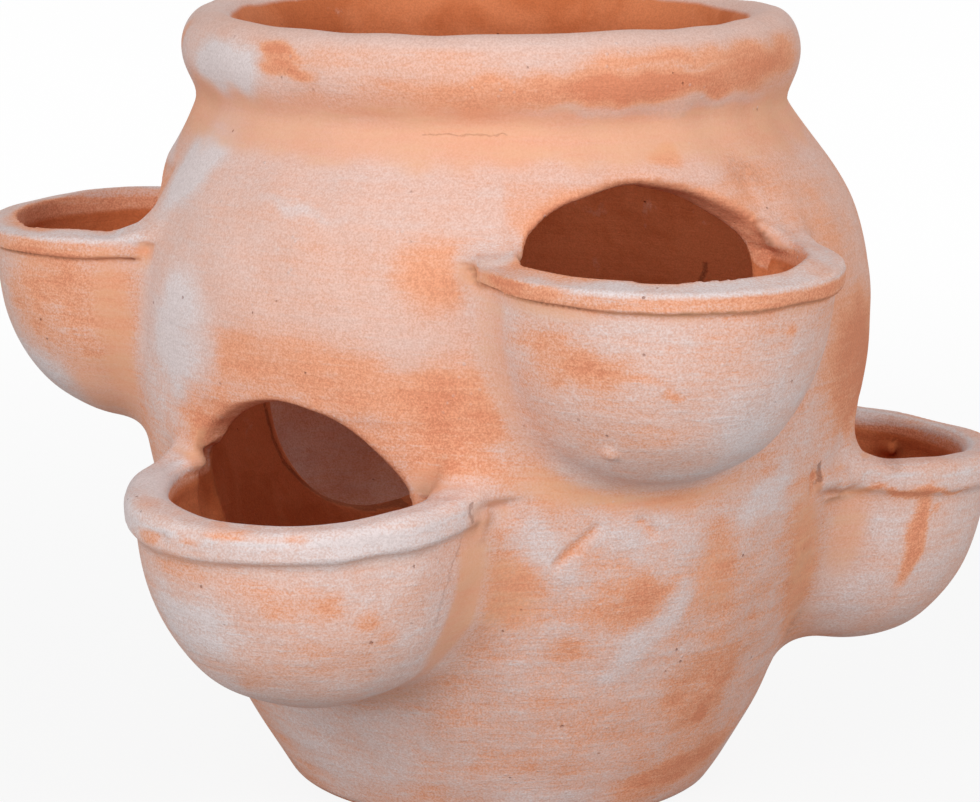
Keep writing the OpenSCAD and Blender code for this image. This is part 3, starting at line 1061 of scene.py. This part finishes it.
class Recipe:
    """A tree of shader nodes and the nodes that its expressions add."""

    def __init__(self, holder):
        holder.use_nodes = True
        self.tree = holder.node_tree
        self.tree.nodes.clear()

    def node(self, kind, sockets=None, **settings):
        """A node of one type: its settings are set first, then its sockets' values or links."""
        made = self.tree.nodes.new(kind)
        for name, value in settings.items():
            if name == "stops":
                self.set_stops(made.color_ramp.elements, value)
            else:
                setattr(made, name, value)
        for key, value in (sockets or {}).items():
            if isinstance(value, Wire):
                self.tree.links.new(value.node.outputs[value.key], made.inputs[key])
            else:
                made.inputs[key].default_value = value
        return Wire(self, made)

    def set_stops(self, stops, wanted):
        """Gives a ramp its stops, as pairs of a place and a colour."""
        while len(stops) < len(wanted):
            stops.new(1.0)
        for stop, (place, shade) in zip(stops, wanted):
            stop.position = place
            stop.color = shade

    def place(self):
        """Where the shaded point is, in metres."""
        return self.node("ShaderNodeTexCoord").out("Object")

    def stretched(self, scale, turn=(0.0, 0.0, 0.0)):
        """The place turned and scaled along each axis, for patterns that run one way."""
        sockets = {"Vector": self.place(), "Scale": scale, "Rotation": turn}
        return self.node("ShaderNodeMapping", sockets, vector_type="POINT")

    def noise(self, size, detail=3.0, rough=0.55, vector=None, warp=0.0):
        """Cloudy noise round 0.5 whose largest lumps are size metres across."""
        return self.node("ShaderNodeTexNoise", {"Vector": vector or self.place(),
            "Scale": 1 / size, "Detail": detail, "Roughness": rough, "Distortion": warp})

    def dots(self, size):
        """Distance to the nearest of scattered points, in cells of the given size."""
        sockets = {"Vector": self.place(), "Scale": 1 / size}
        return self.node("ShaderNodeTexVoronoi", sockets, feature="F1")

    def unrolled(self):
        """Metres round the jar and metres above the ground, a little unsteady."""
        x, y, z = (self.node("ShaderNodeSeparateXYZ", {0: self.place()}).out(axis)
            for axis in "XYZ")
        across = x.maths("ARCTAN2", x, y * -1.0) * UNROLL_R
        sway = (self.noise(0.006, 2.0) - 0.5) * 0.004
        return self.node("ShaderNodeCombineXYZ", {0: across + sway, 1: z + sway})

    def crack(self, unrolled, first, second, width, darkness):
        """1 on a line between two places on the wall, given in degrees and mm, and 0 off it."""
        a, b = (np.array((math.radians(turn) * UNROLL_R, height * MM, 0.0))
            for turn, height in (first, second))
        way = b - a
        offset = self.vector("SUBTRACT", {0: unrolled, 1: a})
        share = self.vector("DOT_PRODUCT", {0: offset, 1: way / (way @ way)}).out("Value")
        share = share.maths("MINIMUM", share.maths("MAXIMUM", share, 0.0), 1.0)
        along = self.vector("SCALE", {0: way, "Scale": share})
        far = self.vector("DISTANCE", {0: offset, 1: along}).out("Value")
        return (1 - far.between(width * MM * 0.3, width * MM)) * darkness

    def vector(self, operation, sockets):
        """A sum on vectors."""
        return self.node("ShaderNodeVectorMath", sockets, operation=operation)

    def mask(self, name):
        """A mask that was worked out from the clay's form and kept on the mesh."""
        return self.node("ShaderNodeAttribute", attribute_type="GEOMETRY",
            attribute_name=name).out("Fac")

    def ramp(self, value, stops):
        """Colours that follow one another as a value rises from 0 to 1."""
        return self.node("ShaderNodeValToRGB", {"Fac": value}, stops=stops)

    def mix(self, share, first, second, blend="MIX"):
        """Two colours mixed."""
        return self.node("ShaderNodeMix", {0: share, 6: first, 7: second}, data_type="RGBA",
            blend_type=blend, clamp_factor=True).out(2)


def swings(*noises):
    """A sum of noises that each swing to both sides of 0 by their own share."""
    return functools.reduce(operator.add, ((noise - 0.5) * share for noise, share in noises))


def fired_clay(name, colours):
    """Hand-made terracotta: orange clay under a mottled and brushed bloom of lime."""
    material = bpy.data.materials.new(name)
    recipe = Recipe(material)
    mix = recipe.mix
    tints = {key: (*getattr(colours, key), 1.0) for key in PlanterColours.__annotations__}
    cloud = recipe.noise(0.045, 4.0, 0.60, warp=0.5)
    mottle = recipe.noise(0.013, 5.0, 0.65, warp=0.3)
    grain = recipe.noise(0.0020, 3.0, 0.80)
    sand = recipe.noise(0.0008, 1.0, 0.5)
    brushed = recipe.noise(0.040, 5.0, 0.70, recipe.stretched((1.0, 1.0, 7.0)))
    hairs = recipe.noise(0.030, 2.0, 0.65, recipe.stretched((1.0, 1.0, 20.0)))
    stroked = recipe.noise(0.016, 3.0, 0.60, recipe.stretched((1.0, 1.0, 9.0), (0.0, 0.7, 0.5)))
    # Lime over the clay, from bare to chalky
    uneven = swings((cloud, 0.55), (mottle, 0.60), (brushed, 0.70), (hairs, 0.34))
    uneven = uneven + stroked.between(0.58, 0.70) * 0.16
    gritty = swings((grain, 0.44), (sand, 0.70))
    veil = (recipe.mask("bloom") + (uneven + gritty) * recipe.mask("patchy")
        - recipe.mask("worn") * mottle * 0.15)
    shade = recipe.ramp(veil, [(0.0, tints["raw"]), (0.26, tints["orange"]), (0.50, tints["pink"]),
        (0.75, tints["pale"]), (1.0, tints["white"])])
    # Slip worked into the neck and the roots of the pockets
    slip = (recipe.mask("slip") + swings((mottle, 0.5), (brushed, 0.9))).between(0.05, 1.15)
    wet = mix((cloud * 0.4 + brushed * 0.6).between(0.38, 0.62), tints["orange"], tints["slip"])
    shade = mix(slip * 0.80, shade, wet)
    # Unwashed clay inside
    inside = recipe.mask("inside")
    damp = mix(cloud.between(0.38, 0.60), tints["damp"], tints["inside"])
    damp = mix(mottle.between(0.62, 0.78) * 0.45, damp, tints["pink"])
    shade = mix((inside + swings((mottle, 0.3))).between(0.25, 0.75), shade, damp)
    # Sand in the surface, soil stains and painted shade low on the front, and painted shade in
    # corners
    speckle = (sand * 0.65 + grain * 0.35).between(0.36, 0.64)
    speck = mix(speckle, (0.91, 0.90, 0.89, 1.0), (1.05, 1.06, 1.06, 1.0))
    shade = mix(1 - slip * 0.8, shade, speck, "MULTIPLY")
    # Soil stains, painted shade over the lower front, and a darker patch at the front lower cup's
    # bottom
    shade = mix(recipe.mask("soil") * grain.between(0.35, 0.60) * 0.55, shade, tints["soil"])
    # Painted shade darkening the corners and creases between pieces of clay
    shade = mix(recipe.mask("crease") * (mottle + 0.45) * 0.55, shade, tints["crease"])
    # Cracks, and the torn edge that only the inside has
    wall = recipe.unrolled()
    torn = [recipe.crack(wall, *ends, 1.5, 0.9) for ends in zip(TORN_EDGE, TORN_EDGE[1:])]
    torn.append(recipe.crack(wall, *FAR_CRACK, 2.0, 1.0))
    torn = functools.reduce(lambda first, second: first.maths("MAXIMUM", first, second), torn)
    cracks = sum(recipe.crack(wall, *crack) for crack in CRACKS)
    cracks = (cracks + torn * inside.between(0.75, 0.95)) * grain.between(0.30, 0.50)
    shade = mix(cracks * 0.60, shade, tints["crease"])
    # Pits and crumbs, in loose groups
    gaps = recipe.noise(0.028, 2.0)
    ragged = swings((grain, 0.16))
    pits = (1 - (recipe.dots(0.0085) + ragged).between(0.03, 0.09)) * gaps.between(0.50, 0.62)
    crumbs = (1 - (recipe.dots(0.0046) + ragged).between(0.08, 0.20)) * gaps.between(0.56, 0.70)
    crumbs = crumbs * (1 - inside)
    shade = mix(pits * 0.62, shade, tints["pit"])
    shade = mix(crumbs * 0.35, shade, tints["white"])
    height = swings((mottle, 0.45), (grain, 0.26), (sand, 0.12), (brushed, 0.42), (hairs, 0.16))
    height = (height - pits * 0.55 - cracks * 0.5 + crumbs * 0.22) * (1 - slip * 0.6)
    bump = recipe.node("ShaderNodeBump", {"Strength": 1.0, "Distance": MM, "Height": height})
    surface = recipe.node("ShaderNodeBsdfPrincipled", {"Base Color": shade,
        "Roughness": 0.95 - slip * 0.10, "Normal": bump, "Specular IOR Level": 0.2})
    recipe.node("ShaderNodeOutputMaterial", {"Surface": surface})
    return material


@functools.cache
def clay_for(slot):
    """The material of one slot in the record."""
    return fired_clay(slot, bpy.context.scene.planter_colours)


def vertex_points(mesh):
    """The places of a mesh's vertices as an array."""
    points = np.zeros(len(mesh.vertices) * 3)
    mesh.vertices.foreach_get("co", points)
    return points.reshape(-1, 3)


def shade_by_form(mesh, way):
    """Shades the skin by the clay's own slope, so that no seam shows between two pieces."""
    corners = np.zeros(len(mesh.loops), np.int32)
    mesh.loops.foreach_get("vertex_index", corners)
    sizes = np.zeros(len(mesh.polygons), np.int32)
    mesh.polygons.foreach_get("loop_total", sizes)
    flat = np.zeros(len(mesh.polygons) * 3)
    mesh.polygons.foreach_get("normal", flat)
    flat = flat.reshape(-1, 3).repeat(sizes, axis=0)
    smooth = way[corners]
    agree = (smooth * flat).sum(1) > 0.5
    mesh.normals_split_custom_set(np.where(agree[:, None], smooth, flat))


def add_piece(node):
    """One piece of the planter in place of its CAD node, with its masks and its clay."""
    planter, pieces = carved_clay()
    mesh = pieces[node]
    slot = SLOTS[node]
    piece = add_object(f"{node}_clay", mesh)
    points = vertex_points(mesh)
    way = planter.slope(points, 0.0009)
    way /= np.maximum(np.linalg.norm(way, axis=1), 1e-6)[:, None]
    for name, values in ClayMasks(planter).work_out(points, way).items():
        layer = mesh.attributes.new(name, "FLOAT", "POINT")
        layer.data.foreach_set("value", values.astype(np.float32))
    mesh.shade_smooth()
    shade_by_form(mesh, way)
    mesh.materials.clear()
    mesh.materials.append(clay_for(slot))
    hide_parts(node)
    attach(piece, BODY)


# ---------------------------------------------------------------- operators

class PLANTER_OT_jar(bpy.types.Operator):
    """Adds the base slab, the lower wall and the shoulder"""
    bl_idname = "planter.jar"
    bl_label = "Thrown jar"

    def execute(self, context):
        for node in ("base_slab", "lower_wall", "shoulder"):
            add_piece(node)
        return {"FINISHED"}


class PLANTER_OT_rim(bpy.types.Operator):
    """Adds the thick roll around the jar's mouth"""
    bl_idname = "planter.rim"
    bl_label = "Rim roll"

    def execute(self, context):
        add_piece("rim_roll")
        return {"FINISHED"}


class PLANTER_OT_cups(bpy.types.Operator):
    """Adds the five pocket cups"""
    bl_idname = "planter.cups"
    bl_label = "Pocket cups"

    def execute(self, context):
        for place in POCKETS:
            add_piece(f"cup_{place}")
        return {"FINISHED"}


class PLANTER_OT_lips(bpy.types.Operator):
    """Adds the band of clay around each pocket's mouth"""
    bl_idname = "planter.lips"
    bl_label = "Lips"

    def execute(self, context):
        for place in POCKETS:
            add_piece(f"lip_{place}")
        return {"FINISHED"}


class PLANTER_OT_lutings(bpy.types.Operator):
    """Adds the clay worked into the corner between each cup and the wall"""
    bl_idname = "planter.lutings"
    bl_label = "Lutings"

    def execute(self, context):
        for place in POCKETS:
            add_piece(f"luting_{place}")
        return {"FINISHED"}


def add_floor(stage):
    """A plain pale floor that keeps the planter's shadow."""
    steps = 64
    turns = [2 * math.pi * k / steps for k in range(steps)]
    ring = np.array([(math.cos(a), math.sin(a), 0.0) for a in turns]) * stage.floor_r
    floor = add_object("floor", make_mesh("floor", ring, np.arange(steps)[None, :]))
    material = bpy.data.materials.new("pale floor")
    recipe = Recipe(material)
    paper = recipe.node("ShaderNodeBsdfDiffuse", {"Color": (0.50, 0.50, 0.50, 1.0)})
    white = recipe.node("ShaderNodeEmission", {"Color": WHITE, "Strength": 1.0})
    seen = recipe.node("ShaderNodeLightPath").out("Is Camera Ray")
    far = recipe.vector("LENGTH", {0: recipe.place()}).out("Value").between(0.15, 1.6)
    both = recipe.node("ShaderNodeMixShader", {0: seen * (far * 0.09 + 0.90), 1: paper, 2: white})
    recipe.node("ShaderNodeOutputMaterial", {"Surface": both})
    floor.data.materials.append(material)


def add_lamp(name, place, power, width=1.8):
    """A soft square lamp that faces the planter's middle."""
    target = (0.0, 0.0, 0.18)
    data = bpy.data.lights.new(name, "AREA")
    data.shape = "SQUARE"
    data.size = width
    data.energy = power
    lamp = add_object(name, data)
    lamp.location = place
    lamp.rotation_euler = (Vector(target) - Vector(place)).to_track_quat("-Z", "Y").to_euler()


def add_world():
    """An even white room: plain light on the planter, and white where the camera looks."""
    world = bpy.data.worlds.new("white room")
    bpy.context.scene.world = world
    recipe = Recipe(world)
    light = recipe.node("ShaderNodeBackground", {"Color": WHITE, "Strength": 0.42})
    white = recipe.node("ShaderNodeBackground", {"Color": WHITE, "Strength": 1.0})
    seen = recipe.node("ShaderNodeLightPath").out("Is Camera Ray")
    both = recipe.node("ShaderNodeMixShader", {0: seen, 1: light, 2: white})
    recipe.node("ShaderNodeOutputWorld", {"Surface": both})


def add_camera(stage):
    """The camera at the photograph's viewing angle."""
    data = bpy.data.cameras.new("camera")
    data.lens = stage.lens
    data.sensor_width = 36.0
    data.clip_end = 50.0
    camera = add_object("camera", data)
    tilt = Matrix.Rotation(math.pi / 2 - stage.look_down, 4, "X")
    aim = tilt @ Matrix.Rotation(stage.roll, 4, "Z")
    place = Matrix.Translation((stage.camera_side, -stage.camera_back, stage.camera_up))
    camera.matrix_world = place @ aim
    bpy.context.scene.camera = camera


class PLANTER_OT_stage(bpy.types.Operator):
    """Adds the floor, the lamps, the white room and the camera"""
    bl_idname = "planter.stage"
    bl_label = "Stage"

    def execute(self, context):
        stage = context.scene.planter_stage
        add_floor(stage)
        add_lamp("key", (-1.3, -2.5, 1.25), 52.5)
        add_lamp("fill", (2.0, -1.8, 1.1), 30.0)
        add_lamp("back", (0.4, 2.6, 1.3), 22.0)
        add_world()
        add_camera(stage)
        context.scene.view_settings.view_transform = "Standard"
        return {"FINISHED"}


class PLANTER_PT_panel(bpy.types.Panel):
    """The planter's sizes, colours and pieces"""
    bl_label = "Planter"
    bl_idname = "PLANTER_PT_panel"
    bl_space_type = "VIEW_3D"
    bl_region_type = "UI"
    bl_category = "Planter"

    def draw(self, context):
        for step in OPERATORS:
            self.layout.operator(step.bl_idname)
        for key, group in GROUPS.items():
            box = self.layout.box()
            for name in group.__annotations__:
                box.prop(getattr(context.scene, key), name)


GROUPS = {
    "planter_jar": PlanterJarSizes,
    "planter_pockets": PlanterPocketSizes,
    "planter_colours": PlanterColours,
    "planter_stage": PlanterStage,
}
OPERATORS = (PLANTER_OT_jar, PLANTER_OT_rim, PLANTER_OT_cups, PLANTER_OT_lips,
    PLANTER_OT_lutings, PLANTER_OT_stage)


def register():
    for name, group in GROUPS.items():
        bpy.utils.register_class(group)
        setattr(bpy.types.Scene, name, bpy.props.PointerProperty(type=group))
    for item in (*OPERATORS, PLANTER_PT_panel):
        bpy.utils.register_class(item)


def unregister():
    for item in (PLANTER_PT_panel, *reversed(OPERATORS)):
        bpy.utils.unregister_class(item)
    for name, group in GROUPS.items():
        delattr(bpy.types.Scene, name)
        bpy.utils.unregister_class(group)


def main():
    """Registers the add-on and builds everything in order."""
    register()
    for step in ("stage", "jar", "rim", "cups", "lips", "lutings"):
        getattr(bpy.ops.planter, step)()


if __name__ == "__main__":
    main()
